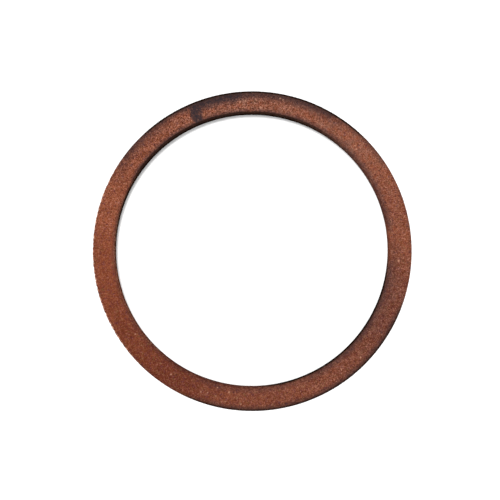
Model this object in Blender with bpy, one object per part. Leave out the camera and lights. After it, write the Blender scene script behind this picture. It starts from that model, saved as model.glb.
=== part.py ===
"""Flat copper sealing washer, stamped from 2 mm strip: one solid ring.

The underside lies on Z = 0 and the bore's axis is the Z axis. All lengths are in metres.
"""

import math

import bmesh
import bpy

# Driving dimensions: the standard flat ring 38 x 44 x 2 mm.
BORE_DIAMETER = 0.038
OUTER_DIAMETER = 0.044
THICKNESS = 0.002

# Edge rounding. The tools pull the upper edges down as they shear the strip, and tumbling
# takes the burr off the lower ones.
UPPER_EDGE_RADIUS = 0.00018
LOWER_EDGE_RADIUS = 0.00008
UPPER_EDGE_STEPS = 3
LOWER_EDGE_STEPS = 2

SEGMENTS = 180  # flats round the ring, which keeps the bore within 4 thousandths of a mm of round
SMOOTH_BELOW = math.radians(40)  # faces that meet at less than this are shaded as one

COPPER_COLOUR = (0.262, 0.078, 0.037, 1.0)  # linear: brown, tarnished copper
COPPER_ROUGHNESS = 0.45
COPPER_METALLIC = 1.0


def clear_scene():
    """Remove every object, so that the script starts from an empty scene."""
    for item in list(bpy.data.objects):
        bpy.data.objects.remove(item, do_unlink=True)


def make_material(name, colour, roughness, metallic):
    """Return a Principled material of one colour."""
    material = bpy.data.materials.new(name)
    material.use_nodes = True
    shader = material.node_tree.nodes["Principled BSDF"]
    shader.inputs["Base Color"].default_value = colour
    shader.inputs["Roughness"].default_value = roughness
    shader.inputs["Metallic"].default_value = metallic
    material.diffuse_color = colour
    return material


def edge_arc(corner, toward_metal, radius, first_angle, steps):
    """Return the (radius, height) points of a quarter round that replaces one square corner.

    toward_metal gives the signs of the way from the corner into the section.
    """
    centre_r = corner[0] + toward_metal[0] * radius
    centre_z = corner[1] + toward_metal[1] * radius
    angles = (first_angle + math.pi / 2 * step / steps for step in range(steps + 1))
    return [(centre_r + radius * math.cos(a), centre_z + radius * math.sin(a)) for a in angles]


def washer_section():
    """Return the closed section of the ring, anticlockwise from its lower inner corner."""
    bore, rim = BORE_DIAMETER / 2, OUTER_DIAMETER / 2
    lower_inner = edge_arc((bore, 0), (1, 1), LOWER_EDGE_RADIUS, math.pi, LOWER_EDGE_STEPS)
    lower_outer = edge_arc((rim, 0), (-1, 1), LOWER_EDGE_RADIUS, -math.pi / 2, LOWER_EDGE_STEPS)
    upper_outer = edge_arc((rim, THICKNESS), (-1, -1), UPPER_EDGE_RADIUS, 0, UPPER_EDGE_STEPS)
    upper_inner = edge_arc((bore, THICKNESS), (1, -1), UPPER_EDGE_RADIUS, math.pi / 2, UPPER_EDGE_STEPS)
    return lower_inner + lower_outer + upper_outer + upper_inner


def turn_section(name, section, segments):
    """Return an object whose mesh is the section carried once round the Z axis."""
    mesh = bpy.data.meshes.new(name)
    shape = bmesh.new()
    rings = []
    for segment in range(segments):
        angle = 2 * math.pi * segment / segments
        cos_a, sin_a = math.cos(angle), math.sin(angle)
        rings.append([shape.verts.new((r * cos_a, r * sin_a, z)) for r, z in section])
    corners = len(section)
    for segment in range(segments):
        here, there = rings[segment], rings[(segment + 1) % segments]
        for i in range(corners):
            j = (i + 1) % corners
            shape.faces.new((here[i], there[i], there[j], here[j]))
    bmesh.ops.recalc_face_normals(shape, faces=shape.faces)
    shape.to_mesh(mesh)
    shape.free()
    mesh.shade_smooth()
    mesh.set_sharp_from_angle(angle=SMOOTH_BELOW)
    ring = bpy.data.objects.new(name, mesh)
    bpy.context.collection.objects.link(ring)
    return ring


def main():
    clear_scene()
    washer = turn_section("copper_washer", washer_section(), SEGMENTS)
    copper = make_material("tarnished_copper", COPPER_COLOUR, COPPER_ROUGHNESS, COPPER_METALLIC)
    washer.data.materials.append(copper)


main()
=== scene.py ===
"""Looks of a flat copper sealing washer: the stamped ring, its tarnish, a pale floor, soft light, a camera.

The washer is one stamping of soft copper strip. The piercing punch came down through the upper face, so the
bore has its rolled edge on top, a smooth sheared band under it and a torn band below. The blanking cut left
its burr round the upper rim. Lengths are in millimetres inside the classes and in metres on every mesh.
"""

import logging
import math
from dataclasses import dataclass, replace
from enum import Enum
from typing import Any

import bpy
import numpy as np
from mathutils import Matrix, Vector, noise


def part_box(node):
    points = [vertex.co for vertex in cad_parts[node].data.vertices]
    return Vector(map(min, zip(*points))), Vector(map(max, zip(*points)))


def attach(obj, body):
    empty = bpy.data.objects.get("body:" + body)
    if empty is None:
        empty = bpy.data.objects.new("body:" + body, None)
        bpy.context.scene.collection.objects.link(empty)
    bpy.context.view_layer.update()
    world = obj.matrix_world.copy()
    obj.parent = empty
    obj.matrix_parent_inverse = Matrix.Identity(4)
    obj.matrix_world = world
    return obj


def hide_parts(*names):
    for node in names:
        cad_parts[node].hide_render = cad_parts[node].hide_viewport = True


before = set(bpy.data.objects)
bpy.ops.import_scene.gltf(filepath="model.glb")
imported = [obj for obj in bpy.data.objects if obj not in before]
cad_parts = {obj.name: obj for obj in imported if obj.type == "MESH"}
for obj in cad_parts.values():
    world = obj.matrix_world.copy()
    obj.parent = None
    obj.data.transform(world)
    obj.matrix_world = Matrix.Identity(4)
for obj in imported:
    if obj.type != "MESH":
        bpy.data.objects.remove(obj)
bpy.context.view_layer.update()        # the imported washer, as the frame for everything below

LOG = logging.getLogger("washer")

MM = 0.001
FULL_TURN = 360.0
CAD_NODE = "copper_washer"
ROUND_ONLY = (1, 1, 0)    # flattens X, Y and Z, so that a pattern changes round the ring but not with height
SENSOR_WIDTH = 36.0    # of the camera, in millimetres


def linear(hex_colour: str) -> tuple[float, float, float, float]:
    """Turn an sRGB hex colour into the linear colour that a shader takes.

    Args:
        hex_colour: six hex digits after a hash.

    Returns:
        Red, green, blue and alpha, linear, from 0 to 1.
    """
    digits = hex_colour.lstrip("#")
    channels = []
    for start in (0, 2, 4):
        value = int(digits[start:start + 2], 16) / 255
        channels.append(value / 12.92 if value <= 0.04045 else ((value + 0.055) / 1.055) ** 2.4)
    return (channels[0], channels[1], channels[2], 1.0)


def add_node(
    tree: bpy.types.NodeTree,
    kind: str,
    settings: dict[Any, Any] | None = None,
    links: dict[Any, bpy.types.NodeSocket] | None = None,
) -> bpy.types.Node:
    """Add a node with its settings and links.

    Args:
        tree: the node tree that gets the node.
        kind: the node's type name.
        settings: values by property name, in lower case, and then by input name or number.
        links: source sockets by input name or number.

    Returns:
        The new node.
    """
    node = tree.nodes.new(kind)
    for name, value in (settings or {}).items():
        if isinstance(name, str) and name.islower():
            setattr(node, name, value)
        else:
            node.inputs[name].default_value = value
    for name, source in (links or {}).items():
        tree.links.new(source, node.inputs[name])
    return node


def ease(x: np.ndarray) -> np.ndarray:
    """Return 0 below 0, 1 above 1 and a smooth rise between."""
    x = np.clip(x, 0.0, 1.0)
    return x * x * (3 - 2 * x)


def lumps(points: np.ndarray, size_mm: float, seed: int) -> np.ndarray:
    """Return smooth noise at each point.

    Args:
        points: an array of points in millimetres, one per row.
        size_mm: how far apart the lumps lie.
        seed: picks one noise of many.

    Returns:
        One value per point, from about -1 to 1.
    """
    shift = np.array((seed * 17.31, seed * 5.17, seed * 9.73))
    return np.array([noise.noise(Vector(p)) for p in points / size_mm + shift])


class Zone(Enum):
    """The stretches of the ring's section, in the order they are walked."""

    LOWER_BORE_EDGE = 0
    UNDERSIDE = 1
    LOWER_RIM_EDGE = 2
    RIM_WALL = 3
    UPPER_RIM_EDGE = 4
    UPPER_FACE = 5
    UPPER_BORE_EDGE = 6
    BORE_WALL = 7


class Border(Enum):
    """Which edge of the upper face an oxide patch grows from."""

    RIM = "rim"
    BORE = "bore"


@dataclass(frozen=True)
class Arc:
    """A stretch of the ring, by angle anticlockwise from +X.

    Attributes:
        start: first angle at full weight, in degrees.
        end: last angle at full weight, in degrees.
        fade: how many degrees the weight takes to fall to nothing at each end.
        peak: the full weight.
    """

    start: float
    end: float
    fade: float
    peak: float = 1.0

    def weight(self, angles: np.ndarray) -> np.ndarray:
        """Return how strongly the arc holds at each angle.

        Args:
            angles: angles in degrees.

        Returns:
            The peak within the arc, falling to 0 past its ends.
        """
        middle, half = (self.start + self.end) / 2, (self.end - self.start) / 2
        away = np.abs((angles - middle + FULL_TURN / 2) % FULL_TURN - FULL_TURN / 2)
        return self.peak * (1 - ease((away - half) / self.fade))


@dataclass(frozen=True)
class OxidePatch:
    """A patch of dark oxide that creeps over the upper face from one of its edges.

    Attributes:
        border: the edge that it grows from.
        arc: the stretch of the ring that it covers, and how dark it is there.
        reach: how far it comes in from that edge before it has thinned out, in millimetres.
        solid: the share of the reach over which it keeps its full thickness.
    """

    border: Border
    arc: Arc
    reach: float
    solid: float = 0.0


@dataclass(frozen=True)
class Tone:
    """The tarnish at one place round the ring, with painted light in its glow; it changes evenly from one
    place to the next.

    Attributes:
        angle: degrees anticlockwise from +X.
        glow_and_light: how much of the copper shines through, from 0 to 1; it is also painted light, high on
            the ring's upper side (about 50 to 120 degrees) and lowest near 240 and 330 degrees.
        haze: how much grey bloom lies on it, from 0 to 1.
        grit: how strongly the grain shows, from 0 to 1.
    """

    angle: float
    glow_and_light: float
    haze: float
    grit: float


@dataclass(frozen=True)
class Mark:
    """A small mark on the upper face.

    Attributes:
        angle: in degrees anticlockwise from +X.
        radius: distance from the bore's axis, in millimetres.
        spread: how far it reaches from its middle, in millimetres.
    """

    angle: float
    radius: float
    spread: float


@dataclass(frozen=True)
class Corner:
    """How one edge of the section is rounded.

    Attributes:
        width: along the face, in millimetres.
        depth: along the wall, in millimetres.
        steps: how many straight steps make the curve.
    """

    width: float
    depth: float
    steps: int


@dataclass(frozen=True)
class Oval:
    """How far a circle of the soft ring is out of round.

    Attributes:
        swell: how far its long axis stands out beyond the mean radius, in millimetres.
        axis: where the long axis points, in degrees anticlockwise from +X.
    """

    swell: float
    axis: float

    def at(self, angles: np.ndarray) -> np.ndarray:
        """Return how far the circle stands out from its mean radius at angles in degrees."""
        return self.swell * np.cos(2 * np.radians(angles - self.axis))


@dataclass(frozen=True)
class Tear:
    """Where the metal tears in a cut, instead of being sheared smooth.

    Attributes:
        start: the share of the thickness at which the torn band starts.
        seed: picks one wandering line of many.
        wander: how far that line strays, as a share of the thickness.
        wander_mm: how far apart its bends lie.
        fade: the share of the thickness over which one band turns into the other.
    """

    start: float
    seed: int
    wander: float = 0.06
    wander_mm: float = 1.8
    fade: float = 0.12


BORE_TEAR = Tear(0.60, 5)
RIM_TEAR = Tear(0.45, 8)


@dataclass
class Surface:
    """The places on the ring's skin, one value or row for each vertex.

    Attributes:
        angle: degrees anticlockwise from +X.
        radius: distance from the axis, in millimetres.
        height: height above the underside, in millimetres.
        out: outward normal in the section, as radial and vertical parts.
        zone: the Zone value.
        thickness: of the ring, in millimetres.
    """

    angle: np.ndarray
    radius: np.ndarray
    height: np.ndarray
    out: np.ndarray
    zone: np.ndarray
    thickness: float

    def points(self) -> np.ndarray:
        """Return the places as X, Y and Z, in millimetres."""
        turn = np.radians(self.angle)
        return np.stack((self.radius * np.cos(turn), self.radius * np.sin(turn), self.height), axis=1)

    def within(self, *zones: Zone) -> np.ndarray:
        """Return which places lie in any of the zones."""
        return np.isin(self.zone, [zone.value for zone in zones])

    def share(self) -> np.ndarray:
        """Return the height above the underside as a share of the thickness."""
        return self.height / self.thickness

    def wander(self, tear: Tear) -> np.ndarray:
        """Return how far the start of a torn band strays, as a share of the thickness."""
        return tear.wander * lumps(self.points() * ROUND_ONLY, tear.wander_mm, tear.seed)

    def torn_bore(self) -> np.ndarray:
        """Return 1 on the torn lower band of the bore's wall and 0 on the sheared band above it."""
        return ease((BORE_TEAR.start + self.wander(BORE_TEAR) - self.share()) / BORE_TEAR.fade)

    def torn_rim(self) -> np.ndarray:
        """Return 1 on the torn upper band of the rim's wall and 0 on the sheared band below it."""
        return ease((self.share() + self.wander(RIM_TEAR) - RIM_TEAR.start) / RIM_TEAR.fade)

    def spot(self, mark: Mark) -> np.ndarray:
        """Return how strongly a mark shows at each place.

        Args:
            mark: the mark.

        Returns:
            1 at the mark's middle, falling to 0 at its edge.
        """
        away = (self.angle - mark.angle + FULL_TURN / 2) % FULL_TURN - FULL_TURN / 2
        distance = np.hypot(np.radians(away) * mark.radius, self.radius - mark.radius)
        return 1 - ease(distance / mark.spread)


# The marks that handling left on the copper, with the bright flecks also painted pale as if they caught the
# light; the burr's stretch; and a stretch of the bore's wall that gets painted glints.
BRIGHT_FLECKS = (
    Mark(94.6, 20.5, 0.19), Mark(92.6, 20.6, 0.16), Mark(93.5, 20.1, 0.13), Mark(86.7, 19.7, 0.17),
    Mark(79.6, 21.3, 0.15), Mark(78.4, 21.2, 0.13), Mark(45.5, 20.2, 0.15), Mark(44.2, 20.0, 0.17),
    Mark(356.0, 20.2, 0.20), Mark(1.2, 19.2, 0.13), Mark(215.6, 19.7, 0.14), Mark(221.4, 19.1, 0.24),
    Mark(236.8, 20.3, 0.17), Mark(250.0, 20.6, 0.14), Mark(252.6, 20.4, 0.13), Mark(255.9, 19.4, 0.13),
    Mark(259.9, 21.0, 0.12), Mark(260.8, 19.7, 0.17), Mark(265.8, 21.1, 0.13), Mark(177.5, 19.2, 0.16),
    Mark(315.5, 20.9, 0.17), Mark(307.0, 20.4, 0.14),
)
DARK_PITS = (
    Mark(327.8, 21.0, 0.24), Mark(303.0, 19.9, 0.16), Mark(145.0, 20.3, 0.20), Mark(238.6, 20.0, 0.17),
    Mark(12.0, 20.9, 0.16),
)
# Painted glints lie on the burr's nicks along this stretch.
BURR = Arc(158, 214, 14)
# Painted glints on the bore's wall along this stretch.
BORE_GLINTS = Arc(173, 223, 14, 0.55)


@dataclass(frozen=True)
class SootAndShadeLevels:
    """How black the soot is on each cut surface, from 0 to 1.

    Attributes:
        sheared: on the bore's sheared band.
        sheared_more: painted shade, added to that where the bore's wall faces away from the light.
        rolled_more: painted shade, added to that where the black runs over the rolled edge on the side away
            from the light.
        torn: on the bore's torn band.
        torn_more: painted shade, added to that where the bore's wall faces away from the light.
        line: in the line along the rim's edge.
        line_more: added to that where the rim's edge is darkened by oxide and painted shade.
        skirt: in the thin soot and painted shade beside that line, where the rim's edge is darkest.
        wall: on the rim's wall.
        wall_more: added to that where the rim's edge is darkened by oxide and painted shade.
        wall_torn: added to that on the rim's torn band.
    """

    sheared: float = 0.26
    sheared_more: float = 0.36
    rolled_more: float = 0.62
    torn: float = 0.50
    torn_more: float = 0.50
    line: float = 0.12
    line_more: float = 0.88
    skirt: float = 0.80
    wall: float = 0.10
    wall_more: float = 0.45
    wall_torn: float = 0.18


@dataclass(frozen=True)
class TarnishAndPaintedLight:
    """Where the oxide, the bloom and the bare copper lie on the ring, and where light, shade and glints are
    painted on it.

    Attributes:
        bore_radius: in millimetres.
        rim_radius: in millimetres.
        roll_width: width of the rolled edge of the bore, in millimetres.
        tones: the tarnish round the upper face, with painted light in its glow.
        patches: dark oxide along the face's edges.
        stain: the slate heat stain that crosses the face, as it is at the bore.
        stain_spread: how much wider the stain is at the rim, on its lower side, in degrees.
        shaded_roll: where painted shade blackens the bore's rolled edge, on the side that faces away from
            the light.
        shaded_bore: where painted shade makes the bore's wall blackest, on the side that faces away from the
            light and at 283 to 345 degrees, where the wall's foot lies in shadow.
        rim_soot_and_shade: where the line along the rim's edge is black, from dark oxide and painted shade
            on the rounded edge.
        line_width: how wide that line is, in millimetres.
        skirt_width: how far a thin soot and painted shade spread in from the rim, in millimetres.
        levels: how black the soot and the painted shade are.
        underside_film: how thick the oxide is on the underside, from 0 to 1.
        pit_film: how thick it is in the pits.
        glint_height: the height of the middle of the bore's painted glints, as a share of the thickness.
        glint_half: half their height, as a share of the thickness.
        drawn: how bright the lines that the tools drew on the sheared bands are, from 0 to 1.
    """

    bore_radius: float
    rim_radius: float
    roll_width: float
    # The glow in these tones is partly painted light: the ring's upper side is brighter and its lower side
    # darker.
    tones: tuple[Tone, ...] = (
        Tone(3, 0.80, 0.45, 0.55), Tone(15, 0.58, 0.55, 0.58), Tone(34, 0.92, 0.70, 0.60),
        Tone(50, 1.05, 0.95, 0.60), Tone(64, 0.82, 0.82, 0.62), Tone(80, 0.84, 0.82, 0.85),
        Tone(97, 1.20, 0.95, 1.00), Tone(120, 0.92, 0.52, 0.88), Tone(150, 0.77, 0.22, 0.72),
        Tone(166, 1.00, 0.18, 0.60), Tone(182, 0.62, 0.00, 0.36), Tone(200, 0.44, 0.00, 0.32),
        Tone(220, 0.32, 0.00, 0.32), Tone(240, 0.04, 0.00, 0.34), Tone(262, 0.42, 0.20, 0.46),
        Tone(300, 0.44, 0.38, 0.60), Tone(330, 0.10, 0.58, 0.54), Tone(348, 0.24, 0.58, 0.54),
    )
    patches: tuple[OxidePatch, ...] = (
        OxidePatch(Border.RIM, Arc(4, 30, 6, 0.25), 0.40),
        OxidePatch(Border.RIM, Arc(34, 56, 6, 0.60), 1.10),
        OxidePatch(Border.RIM, Arc(59, 82, 5, 0.86), 1.85, 0.25),
        OxidePatch(Border.RIM, Arc(83, 94, 5, 0.80), 1.80, 0.25),
        OxidePatch(Border.RIM, Arc(95, 111, 4, 1.0), 2.20, 0.35),
        OxidePatch(Border.RIM, Arc(113, 127, 4, 1.0), 1.25),
        OxidePatch(Border.RIM, Arc(128, 140, 5, 0.80), 1.90),
        OxidePatch(Border.RIM, Arc(142, 150, 5, 0.50), 2.40),
        OxidePatch(Border.RIM, Arc(160, 232, 8, 0.25), 0.40),
        OxidePatch(Border.RIM, Arc(258, 330, 14, 0.75), 1.05),
        OxidePatch(Border.BORE, Arc(12, 60, 8, 0.62), 0.90),
        OxidePatch(Border.BORE, Arc(60, 84, 12, 0.72), 0.75),
        OxidePatch(Border.BORE, Arc(98, 142, 12, 0.78), 0.75),
        OxidePatch(Border.BORE, Arc(154, 250, 8, 0.35), 0.45),
        OxidePatch(Border.BORE, Arc(254, 296, 10, 0.42), 0.95),
        OxidePatch(Border.BORE, Arc(298, 352, 8, 0.62), 0.90),
        OxidePatch(Border.BORE, Arc(332, 358, 10, 0.30), 2.00),
    )
    stain: Arc = Arc(111.2, 113.7, 1.3)
    stain_spread: float = 4.6
    # Painted shade: the bore's rolled edge and wall blacken at 76 to 160 degrees, on the side away from the
    # light, and the bore's wall blackens again at 283 to 345 degrees.
    shaded_roll: tuple[Arc, ...] = (Arc(84, 96, 60), Arc(90, 141, 16))
    shaded_bore: tuple[Arc, ...] = (Arc(76, 160, 44), Arc(283, 345, 14))
    # The rim's edge line is darkened at 50 to 129 and 250 to 334 degrees, by dark oxide and painted shade.
    rim_soot_and_shade: tuple[Arc, ...] = (Arc(50, 129, 12), Arc(250, 334, 18, 0.90))
    line_width: float = 0.37
    skirt_width: float = 0.90
    levels: SootAndShadeLevels = SootAndShadeLevels()
    underside_film: float = 0.25
    pit_film: float = 0.8
    glint_height: float = 0.55
    glint_half: float = 0.25
    drawn: float = 0.22

    def masks(self, skin: Surface) -> dict[str, np.ndarray]:
        """Return the masks that the finish reads, each from 0 to 1.

        Args:
            skin: the places on the ring.

        Returns:
            glow_and_light, haze and grit as in Tone; oxide, dark film; soot_and_shade, the black of the cut
            edges with painted shade; bare_copper_and_glints, bare copper with painted glints.
        """
        points = skin.points()
        sway = 5 * lumps(points, 1.6, 21)
        angles = [tone.angle for tone in self.tones]
        masks = {}
        for name in ("glow_and_light", "haze", "grit"):
            values = [getattr(tone, name) for tone in self.tones]
            masks[name] = np.interp(skin.angle + sway, angles, values, period=FULL_TURN)
        masks["oxide"] = self.oxide(skin, points)
        masks["soot_and_shade"] = self.soot_and_shade(skin, points)
        masks["bare_copper_and_glints"] = self.bare_copper_and_glints(skin, points, masks["soot_and_shade"])
        return masks

    def oxide(self, skin: Surface, points: np.ndarray) -> np.ndarray:
        """Lay the dark film: the patches, the stain and the pits.

        Args:
            skin: the places on the ring.
            points: the same places as X, Y and Z.

        Returns:
            How thick the film is, from 0 to 1.
        """
        wander = 0.16 * lumps(points, 0.8, 11) + 0.12 * lumps(points, 0.32, 12)
        sway = 7 * lumps(points, 2.2, 13)
        from_edge = {Border.RIM: self.rim_radius - skin.radius, Border.BORE: skin.radius - self.bore_radius}
        film = np.zeros(len(points))
        for patch in self.patches:
            share = (from_edge[patch.border] + wander) / patch.reach
            cover = 1 - ease((share - patch.solid) / (1 - patch.solid))
            film = np.maximum(film, cover * patch.arc.weight(skin.angle + sway))
        across = (skin.radius - self.bore_radius) / (self.rim_radius - self.bore_radius)
        widened = np.where(skin.angle < self.stain.start, self.stain_spread * across ** 2, 0)
        angle = np.minimum(skin.angle + widened, np.maximum(skin.angle, self.stain.start))
        film = np.maximum(film, self.stain.weight(angle + 0.9 * lumps(points, 0.6, 14)))
        for mark in DARK_PITS:
            film = np.maximum(film, self.pit_film * skin.spot(mark))
        return np.where(skin.within(Zone.UNDERSIDE), self.underside_film, film)

    def soot_and_shade(self, skin: Surface, points: np.ndarray) -> np.ndarray:
        """Blacken the cut edges, and paint shade on them where the light falls least.

        Args:
            skin: the places on the ring.
            points: the same places as X, Y and Z.

        Returns:
            How black each place is, from 0 to 1.
        """
        # The arcs' weights: roll and bore mark where shade is painted on the bore; line marks where the
        # rim's edge is dark from oxide and painted shade.
        roll, bore, line = (np.max([arc.weight(skin.angle) for arc in arcs], axis=0)
                            for arcs in (self.shaded_roll, self.shaded_bore, self.rim_soot_and_shade))
        levels = self.levels
        # Dark oxide on every cut, blacker where painted shade lies on the side away from the light.
        sheared = levels.sheared + levels.sheared_more * bore * (1 - roll) + levels.rolled_more * roll
        torn = np.maximum(levels.torn + levels.torn_more * bore, sheared)
        soot_and_shade = sheared + skin.torn_bore() * (torn - sheared)
        soot_and_shade = np.where(skin.within(Zone.BORE_WALL, Zone.LOWER_BORE_EDGE), soot_and_shade, 0)
        # The black runs over the rolled edge, further where painted shade lies on it.
        over_roll = np.clip(1 - (skin.radius - self.bore_radius) / self.roll_width, 0, 1)
        reach = 0.22 + 0.58 * roll + 0.15 * lumps(points, 0.5, 15)
        rolled = sheared * ease((over_roll - 1 + reach) / 0.55)
        soot_and_shade = np.where(skin.within(Zone.UPPER_BORE_EDGE), rolled, soot_and_shade)
        # The rim's edge line and its skirt: dark oxide, with painted shade where the line's arcs hold.
        inward = self.rim_radius - skin.radius + 0.05 * lumps(points, 0.5, 17)
        edge = levels.line + levels.line_more * line
        edge *= 1 - ease((inward - self.line_width / 2) / self.line_width)
        edge = np.maximum(edge, levels.skirt * line ** 6 * (1 - ease(inward / self.skirt_width)))
        soot_and_shade = np.where(skin.within(Zone.UPPER_RIM_EDGE, Zone.UPPER_FACE), np.maximum(soot_and_shade, edge), soot_and_shade)
        # The rim's wall: dark oxide, with painted shade where the line's arcs hold.
        rim = levels.wall + levels.wall_more * line + levels.wall_torn * skin.torn_rim()
        return np.where(skin.within(Zone.RIM_WALL, Zone.LOWER_RIM_EDGE), rim, soot_and_shade)

    def bare_copper_and_glints(self, skin: Surface, points: np.ndarray, soot_and_shade: np.ndarray) -> np.ndarray:
        """Bare the copper on flecks, painted pale as if they caught the light, and on the tools' drawn
        lines; paint glints on the burr and on a stretch of the bore's wall.

        Args:
            skin: the places on the ring.
            points: the same places as X, Y and Z.
            soot_and_shade: how black each place is.

        Returns:
            How bare the copper is, with the painted glints, from 0 to 1.
        """
        # Bright flecks: nicks of bare copper, painted pale as if they caught the light.
        flecks = np.max([skin.spot(mark) for mark in BRIGHT_FLECKS], axis=0)
        flecks = np.where(skin.within(Zone.UPPER_FACE), flecks, 0)
        # Painted glints: specks on the burr and on the bore's wall, bright as if they caught the light.
        sparkle = lumps(points, 0.21, 16)
        burr = np.where(skin.within(Zone.UPPER_RIM_EDGE), BURR.weight(skin.angle) * ease(sparkle / 0.3), 0)
        off_middle = np.abs(skin.share() - self.glint_height)
        bore_glints = 1 - ease((off_middle - self.glint_half) / 0.12)
        bore_glints *= BORE_GLINTS.weight(skin.angle) * ease((sparkle - 0.16) / 0.3)
        bore_glints = np.where(skin.within(Zone.BORE_WALL), bore_glints, 0)
        drawn = self.drawn * ease(lumps(points * (1, 1, 0.04), 0.24, 18) / 0.5)
        sheared = np.where(skin.within(Zone.BORE_WALL), 1 - skin.torn_bore(), 0)
        sheared += np.where(skin.within(Zone.RIM_WALL), 1 - skin.torn_rim(), 0)
        return np.max((flecks, burr, bore_glints, drawn * sheared * (1 - soot_and_shade)), axis=0)


@dataclass
class StampedRing:
    """The washer itself, turned from its section and then marked by its making and handling.

    Attributes:
        node: the CAD node that it stands for.
        bore_radius: in millimetres.
        rim_radius: in millimetres.
        thickness: in millimetres.
        skin: how far the surface lies inside the CAD faces, which leaves room for its relief.
        segments: how many steps go round the ring.
        face_steps: how many steps go across the upper face.
        underside_steps: how many steps go across the underside.
        wall_steps: how many steps go up each wall.
        bore_roll: the edge that the piercing punch pulled down.
        rim_round: the upper edge of the rim.
        lower_break: the tumbled lower edges.
        bore_offset: how far the two punches were out of line, so that the bore sits off the rim's centre.
        rim_oval: how far the rim sprang out of round, always inward from its full radius.
        bore_oval: how far the bore sprang out of round.
        waves: height, spacing and seed of the waviness all over the skin.
        streak_depth: depth of the lines that the tools drew on the sheared bands.
        tear_depth: how far the torn bands lie back.
        tear_roughness: how rough they are.
        nick_depth: depth of the nicks in the burr.
        roll_nick_depth: depth of the nicks in the rolled edge.
        pit_depth: depth of the dark pits.
        fleck_depth: depth of the bright flecks.
    """

    node: str
    bore_radius: float
    rim_radius: float
    thickness: float
    skin: float = 0.012
    segments: int = 1120
    face_steps: int = 26
    underside_steps: int = 12
    wall_steps: int = 13
    bore_roll: Corner = Corner(0.26, 0.16, 6)
    rim_round: Corner = Corner(0.15, 0.13, 5)
    lower_break: Corner = Corner(0.08, 0.08, 4)
    bore_offset: tuple[float, float] = (-0.05, 0.115)
    rim_oval: Oval = Oval(0.028, 90.0)
    bore_oval: Oval = Oval(0.020, 17.0)
    waves: tuple[tuple[float, float, int], ...] = ((0.004, 3.5, 1), (0.002, 0.6, 2), (0.0015, 0.25, 3))
    streak_depth: float = 0.004
    tear_depth: float = 0.022
    tear_roughness: float = 0.012
    nick_depth: float = 0.09
    roll_nick_depth: float = 0.02
    pit_depth: float = 0.025
    fleck_depth: float = 0.005

    def section(self) -> list[tuple[float, float, float, float, int]]:
        """Return the section's stations, walked once round from the bore's lower edge.

        Returns:
            Radius, height, the radial and vertical parts of the outward normal, and the Zone value.
        """
        bore, rim = self.bore_radius + self.skin, self.rim_radius - self.skin
        low, top = 0.5 * self.skin, self.thickness - self.skin
        stations: list[tuple[float, float, float, float, int]] = []

        def straight(start: tuple[float, float], end: tuple[float, float], steps: int, zone: Zone) -> None:
            """Add the stations between two points, without the points themselves.

            Args:
                start: radius and height of the first point.
                end: radius and height of the last point.
                steps: how many steps lie between them.
                zone: the zone that the stations belong to.
            """
            along = Vector(end) - Vector(start)
            out = Vector((along.y, -along.x)).normalized()
            for step in range(1, steps):
                at = Vector(start) + along * step / steps
                stations.append((at.x, at.y, out.x, out.y, zone.value))

        def rounded(corner: Corner, centre: tuple[float, float], first_angle: float, zone: Zone) -> None:
            """Add the stations of a quarter round, both ends included.

            Args:
                corner: how the edge is rounded.
                centre: radius and height of the round's centre.
                first_angle: the outward direction at its first station, in radians.
                zone: the zone that the stations belong to.
            """
            for step in range(corner.steps + 1):
                angle = first_angle + math.pi / 2 * step / corner.steps
                out_r, out_z = math.cos(angle), math.sin(angle)
                stations.append((centre[0] + corner.width * out_r, centre[1] + corner.depth * out_z,
                                 out_r, out_z, zone.value))

        edge, roll, broken = self.rim_round, self.bore_roll, self.lower_break
        rounded(broken, (bore + broken.width, low + broken.depth), math.pi, Zone.LOWER_BORE_EDGE)
        straight((bore + broken.width, low), (rim - broken.width, low), self.underside_steps, Zone.UNDERSIDE)
        rounded(broken, (rim - broken.width, low + broken.depth), -math.pi / 2, Zone.LOWER_RIM_EDGE)
        straight((rim, low + broken.depth), (rim, top - edge.depth), self.wall_steps, Zone.RIM_WALL)
        rounded(edge, (rim - edge.width, top - edge.depth), 0, Zone.UPPER_RIM_EDGE)
        straight((rim - edge.width, top), (bore + roll.width, top), self.face_steps, Zone.UPPER_FACE)
        rounded(roll, (bore + roll.width, top - roll.depth), math.pi / 2, Zone.UPPER_BORE_EDGE)
        straight((bore, top - roll.depth), (bore, low + broken.depth), self.wall_steps, Zone.BORE_WALL)
        return stations

    def build(self) -> bpy.types.Object:
        """Make the ring's mesh, with its relief and the masks that its finish reads.

        Returns:
            The ring's object, in the washer's own frame.
        """
        section = np.array(self.section())
        stations = len(section)
        angle = np.repeat(np.arange(self.segments) * FULL_TURN / self.segments, stations)
        columns = np.tile(section, (self.segments, 1))
        skin = Surface(angle, columns[:, 0], columns[:, 1], columns[:, 2:4], columns[:, 4].astype(int),
                       self.thickness)
        relief = self.relief(skin)
        toward_bore = (self.rim_radius - skin.radius) / (self.rim_radius - self.bore_radius)
        oval = toward_bore * self.bore_oval.at(angle)
        oval += (1 - toward_bore) * (self.rim_oval.at(angle) - self.rim_oval.swell)
        moved = replace(skin, radius=skin.radius + oval + relief * skin.out[:, 0],
                        height=skin.height + relief * skin.out[:, 1])

        mesh = bpy.data.meshes.new("copper_ring")
        first = np.arange(self.segments)[:, None] * stations
        after = np.roll(first, -1, axis=0)
        here = np.arange(stations)[None, :]
        there = np.roll(here, -1, axis=1)
        quads = np.stack((first + here, after + here, after + there, first + there), axis=-1).reshape(-1, 4)
        points = moved.points()
        points[:, :2] += toward_bore[:, None] * self.bore_offset
        mesh.from_pydata((points * MM).tolist(), [], quads.tolist())
        mesh.shade_smooth()
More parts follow.
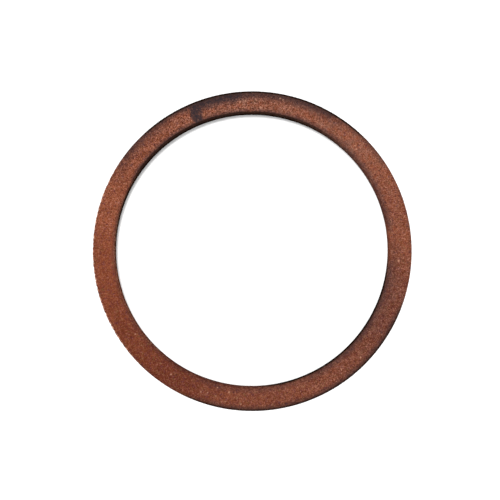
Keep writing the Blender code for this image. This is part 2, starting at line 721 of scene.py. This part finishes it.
        # These masks hold tarnish and wear, and also painted light: the glow's brighter upper side, painted
        # shade on the cut edges and painted glints.
        tarnish = TarnishAndPaintedLight(self.bore_radius, self.rim_radius, self.bore_roll.width)
        for name, values in tarnish.masks(skin).items():
            mesh.attributes.new(name, "FLOAT", "POINT").data.foreach_set("value", values.astype(np.float32))
        ring = bpy.data.objects.new("copper_ring", mesh)
        bpy.context.collection.objects.link(ring)
        return ring

    def relief(self, skin: Surface) -> np.ndarray:
        """Work the waviness, the cuts and the marks into the plain ring.

        Args:
            skin: the places on the plain ring.

        Returns:
            How far each place stands out, in millimetres.
        """
        points = skin.points()
        round_the_ring = points * ROUND_ONLY
        relief = sum(height * lumps(points, size_mm, seed) for height, size_mm, seed in self.waves)
        streaks = self.streak_depth * lumps(round_the_ring, 0.3, 4)
        tear = self.tear_roughness * lumps(points * (1, 1, 0.6), 0.22, 6) - self.tear_depth
        ends = ease(np.minimum(skin.share(), 1 - skin.share()) / 0.12)
        for wall, torn in ((Zone.BORE_WALL, skin.torn_bore()), (Zone.RIM_WALL, skin.torn_rim())):
            cut = streaks * (1 - torn) + torn * tear
            relief += np.where(skin.within(wall), cut * ends, 0)

        nicks = np.clip(0.15 - 1.4 * lumps(round_the_ring, 0.30, 7), 0, 1)
        at_rim = np.where(skin.within(Zone.UPPER_RIM_EDGE), 0.15 + 0.85 * BURR.weight(skin.angle), 0)
        relief -= self.nick_depth * nicks * at_rim * np.abs(skin.out[:, 0])
        relief -= np.where(skin.within(Zone.UPPER_BORE_EDGE), self.roll_nick_depth * nicks, 0)

        upper = skin.within(Zone.UPPER_FACE)
        for marks, depth in ((DARK_PITS, self.pit_depth), (BRIGHT_FLECKS, self.fleck_depth)):
            for mark in marks:
                relief -= np.where(upper, depth * skin.spot(mark), 0)
        return relief

    def dress(self, ring: bpy.types.Object, finish: "TarnishedCopper") -> None:
        """Give the ring its finish and its body, and hide the CAD part that it stands for.

        Args:
            ring: the ring's object.
            finish: the finish that it wears.
        """
        ring.data.materials.append(finish.material())
        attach(ring, "root")
        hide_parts(self.node)


@dataclass(frozen=True)
class Coat:
    """A thin coat of one colour, which a pattern and a mask let through.

    Attributes:
        colour: sRGB hex.
        pattern: the pattern that breaks the coat up.
        low: the pattern's value where the coat is thinnest.
        high: the pattern's value where the coat is thickest.
        least: how much it covers at its thinnest.
        most: how much it covers at its thickest.
        mask: the mask that confines it, or an empty name where it lies all over.
    """

    colour: str
    pattern: str
    low: float
    high: float
    least: float
    most: float
    mask: str = ""


@dataclass(frozen=True)
class TarnishedCopper:
    """Annealed copper strip, rolled, stamped, tumbled and left to tarnish.

    Annealing leaves a brown cuprous oxide that tumbling thins unevenly, so the eye sees a dull
    red-brown with a fine grain, orange where the metal shines through and slate where the oxide is thick.
    The real crystals are some hundredths of a millimetre wide; they are drawn about four times as coarse,
    so that the grain shows.

    Attributes:
        brown: the oxide that covers most of the metal.
        orange: the metal through a thin oxide.
        grazing: what a slanting view reflects.
        drift_mm: size of the broad changes of tone.
        mottle_mm: size of the mottling.
        blotch_mm: size of the small blotches.
        grain_mm: size of the crystals.
        glow_range: how much glow_and_light and noise show none of the orange, and all of it.
        roughness: on the smoothest and on the roughest crystals.
        soot_roughness: added to that on soot and painted shade.
        metallic: on bare metal, and on soot and painted shade.
        bump_mm: height of the grain and the blotches.
        bump_strength: how fully that height shows.
        coats: plum and olive oxide, grey bloom, dark pits, bare crystals, slate film, black soot with
            painted shade, and pale copper with painted glints, in the order they lie.
    """

    brown: str = "#6A301E"
    orange: str = "#9E5435"
    grazing: str = "#8A6A5C"
    drift_mm: float = 3.2
    mottle_mm: float = 0.7
    blotch_mm: float = 0.30
    grain_mm: float = 0.15
    glow_range: tuple[float, float] = (0.60, 1.80)
    roughness: tuple[float, float] = (0.44, 0.60)
    soot_roughness: float = 0.35
    metallic: tuple[float, float] = (0.85, 0.05)
    bump_mm: float = 0.02
    bump_strength: float = 0.6
    coats: tuple[Coat, ...] = (
        Coat("#67353A", "blotch", 0.50, 0.74, 0.0, 1.0),
        Coat("#7A5738", "blotch", 0.46, 0.26, 0.0, 0.80),
        Coat("#8A6A5D", "mottle", 0.30, 0.70, 0.10, 0.55, "haze"),
        Coat("#280C04", "grain", 0.45, 0.67, 0.0, 0.90, "grit"),
        Coat("#D09480", "grain", 0.50, 0.24, 0.0, 0.92, "grit"),
        Coat("#372F33", "blotch", 0.30, 0.62, 0.74, 0.98, "oxide"),
        # Black soot, with painted shade on the bore's wall and rolled edge and along the rim's edge.
        Coat("#1B100B", "blotch", 0.25, 0.50, 0.90, 1.0, "soot_and_shade"),
        # Pale copper: bare flecks and drawn lines, and painted glints on the burr and the bore's wall.
        Coat("#EEB394", "grain", 0.35, 0.60, 0.45, 0.90, "bare_copper_and_glints"),
    )

    def material(self) -> bpy.types.Material:
        """Make the finish.

        Returns:
            A Principled material made of nodes.
        """
        material = bpy.data.materials.new("tarnished_copper")
        material.use_nodes = True
        tree = material.node_tree
        tree.nodes.clear()
        place = add_node(tree, "ShaderNodeTexCoord").outputs["Object"]
        place = add_node(tree, "ShaderNodeVectorMath", {"operation": "SCALE", "Scale": 1 / MM},
                         {0: place}).outputs[0]
        masks = {name: add_node(tree, "ShaderNodeAttribute", {"attribute_name": name}).outputs["Fac"]
                 for name in ("glow_and_light", "haze", "grit", "oxide", "soot_and_shade", "bare_copper_and_glints")}
        patterns = {}
        for name, size, detail, twist in (
                ("drift", self.drift_mm, 3.0, 0.0), ("mottle", self.mottle_mm, 2.0, 0.4),
                ("blotch", self.blotch_mm, 1.5, 1.3), ("grain", self.grain_mm, 1.0, 1.0)):
            patterns[name] = add_node(tree, "ShaderNodeTexNoise", {
                "Scale": 1 / size, "Detail": detail, "Roughness": 0.6, "Distortion": twist},
                {"Vector": place}).outputs[0]

        # The glow mask lifts the copper toward orange: uneven tarnish, and painted light on the ring's upper
        # side.
        shown = masks["glow_and_light"]
        for name, share in (("drift", 0.6), ("mottle", 0.8)):
            shown = add_node(tree, "ShaderNodeMath", {"operation": "MULTIPLY_ADD", 1: share},
                             {0: patterns[name], 2: shown}).outputs[0]
        shown = add_node(tree, "ShaderNodeMapRange", {
            "interpolation_type": "SMOOTHSTEP", "From Min": self.glow_range[0],
            "From Max": self.glow_range[1]}, {"Value": shown}).outputs[0]
        colour = add_node(tree, "ShaderNodeMix", {"data_type": "RGBA", 6: linear(self.brown),
                                                  7: linear(self.orange)}, {0: shown}).outputs[2]
        for coat in self.coats:
            cover = add_node(tree, "ShaderNodeMapRange", {
                "interpolation_type": "SMOOTHSTEP", "From Min": coat.low, "From Max": coat.high,
                "To Min": coat.least, "To Max": coat.most}, {"Value": patterns[coat.pattern]}).outputs[0]
            if coat.mask:
                cover = add_node(tree, "ShaderNodeMath", {"operation": "MULTIPLY"},
                                 {0: cover, 1: masks[coat.mask]}).outputs[0]
            colour = add_node(tree, "ShaderNodeMix", {"data_type": "RGBA", 7: linear(coat.colour)},
                              {0: cover, 6: colour}).outputs[2]

        rough = add_node(tree, "ShaderNodeMapRange", {
            "From Min": 0.3, "From Max": 0.7, "To Min": self.roughness[0], "To Max": self.roughness[1]},
            {"Value": patterns["grain"]}).outputs[0]
        rough = add_node(tree, "ShaderNodeMath", {"operation": "MULTIPLY_ADD", 1: self.soot_roughness},
                         {0: masks["soot_and_shade"], 2: rough}).outputs[0]
        metal = add_node(tree, "ShaderNodeMapRange", {
            "interpolation_type": "SMOOTHSTEP", "From Min": 0.1, "From Max": 0.6, "To Min": self.metallic[0],
            "To Max": self.metallic[1]}, {"Value": masks["soot_and_shade"]}).outputs[0]
        height = add_node(tree, "ShaderNodeMath", {"operation": "MULTIPLY_ADD", 1: 0.8},
                          {0: patterns["blotch"], 2: patterns["grain"]}).outputs[0]
        bump = add_node(tree, "ShaderNodeBump", {
            "Strength": self.bump_strength, "Distance": self.bump_mm * MM}, {"Height": height})
        shader = add_node(tree, "ShaderNodeBsdfPrincipled", {
            "Specular IOR Level": 0.0, "Specular Tint": linear(self.grazing)}, {
            "Base Color": colour, "Roughness": rough, "Metallic": metal, "Normal": bump.outputs[0]})
        add_node(tree, "ShaderNodeOutputMaterial", {}, {"Surface": shader.outputs[0]})
        return material


@dataclass(frozen=True)
class MattePaper:
    """Uncoated white paper, which gives a plain, dull, even ground.

    Attributes:
        white: sRGB hex.
        roughness: of its fibres, which scatter the light widely.
        specular: how little it shines.
    """

    white: str = "#F2F2F2"
    roughness: float = 0.9
    specular: float = 0.1

    def material(self) -> bpy.types.Material:
        """Make the finish.

        Returns:
            A Principled material.
        """
        material = bpy.data.materials.new("matte_paper")
        material.use_nodes = True
        shader = material.node_tree.nodes["Principled BSDF"]
        shader.inputs["Base Color"].default_value = linear(self.white)
        shader.inputs["Roughness"].default_value = self.roughness
        shader.inputs["Specular IOR Level"].default_value = self.specular
        return material


@dataclass(frozen=True)
class HighLight:
    """A broad soft light, so far off that it lights the whole floor evenly.

    Attributes:
        azimuth: where it stands, in degrees anticlockwise from +X.
        elevation: how high it stands, in degrees above the floor.
        spread: its width in the sky, in degrees, which sets how soft the shadows are.
        strength: in watts per square metre.
    """

    azimuth: float = 122.0
    elevation: float = 78.0
    spread: float = 12.0
    strength: float = 2.5

    def build(self) -> bpy.types.Object:
        """Make the light, which the copper doesn't mirror.

        Returns:
            The light's object.
        """
        data = bpy.data.lights.new("high_light", "SUN")
        data.angle, data.energy = math.radians(self.spread), self.strength
        light = bpy.data.objects.new("high_light", data)
        azimuth, elevation = math.radians(self.azimuth), math.radians(self.elevation)
        away = Vector((math.cos(azimuth) * math.cos(elevation), math.sin(azimuth) * math.cos(elevation),
                       math.sin(elevation)))
        light.rotation_euler = away.to_track_quat("Z", "Y").to_euler()
        light.visible_glossy = False
        bpy.context.collection.objects.link(light)
        return light


@dataclass
class Studio:
    """The pale floor, the soft light and the camera, which looks straight down.

    Attributes:
        centre: the middle of the washer, in metres.
        floor_side: side of the floor, in millimetres.
        sky: brightness of the white surroundings.
        stand_off: distance of the camera from the washer, in millimetres.
        view_width: width that the camera sees at the washer, in millimetres.
        aim: how far right of and above the picture's middle the washer sits, in millimetres.
    """

    centre: Vector
    floor_side: float = 3000.0
    sky: float = 1.0
    stand_off: float = 88.0
    view_width: float = 69.41
    aim: tuple[float, float] = (0.306, -0.163)

    def build_floor(self) -> bpy.types.Object:
        """Make the floor, which the washer lies on.

        Returns:
            The floor's object.
        """
        half = self.floor_side * MM / 2
        corners = [(-half, -half, 0), (half, -half, 0), (half, half, 0), (-half, half, 0)]
        mesh = bpy.data.meshes.new("floor")
        mesh.from_pydata(corners, [], [(0, 1, 2, 3)])
        mesh.materials.append(MattePaper().material())
        floor = bpy.data.objects.new("floor", mesh)
        bpy.context.collection.objects.link(floor)
        return floor

    def build_light(self) -> bpy.types.Object:
        """Make the white surroundings and the high light.

        Returns:
            The high light's object.
        """
        world = bpy.data.worlds.new("white_room")
        bpy.context.scene.world = world
        world.use_nodes = True
        background = world.node_tree.nodes["Background"]
        background.inputs["Color"].default_value = (1, 1, 1, 1)
        background.inputs["Strength"].default_value = self.sky
        bpy.context.scene.view_settings.view_transform = "Standard"
        return HighLight().build()

    def build_camera(self) -> bpy.types.Object:
        """Make the camera and hand it to the scene.

        Returns:
            The camera's object.
        """
        data = bpy.data.cameras.new("camera")
        data.sensor_width = SENSOR_WIDTH
        data.lens = SENSOR_WIDTH * self.stand_off / self.view_width
        data.clip_start = 0.005
        camera = bpy.data.objects.new("camera", data)
        camera.location = self.centre + Vector((-self.aim[0], -self.aim[1], self.stand_off)) * MM
        bpy.context.collection.objects.link(camera)
        bpy.context.scene.camera = camera
        return camera


def main() -> None:
    """Build the washer and its studio."""
    logging.basicConfig(level=logging.INFO, format="%(name)s: %(message)s")
    low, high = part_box(CAD_NODE)
    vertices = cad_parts[CAD_NODE].data.vertices
    bore_radius = min(math.hypot(vertex.co.x, vertex.co.y) for vertex in vertices)
    washer = StampedRing(CAD_NODE, bore_radius / MM, (high.x - low.x) / 2 / MM, (high.z - low.z) / MM)
    ring = washer.build()
    washer.dress(ring, TarnishedCopper())
    LOG.info("%s: %d faces, bore %.2f mm", ring.name, len(ring.data.polygons), 2 * washer.bore_radius)

    studio = Studio((low + high) / 2)
    for item in (studio.build_floor(), studio.build_light(), studio.build_camera()):
        LOG.info("%s", item.name)


if __name__ == "__main__":
    main()
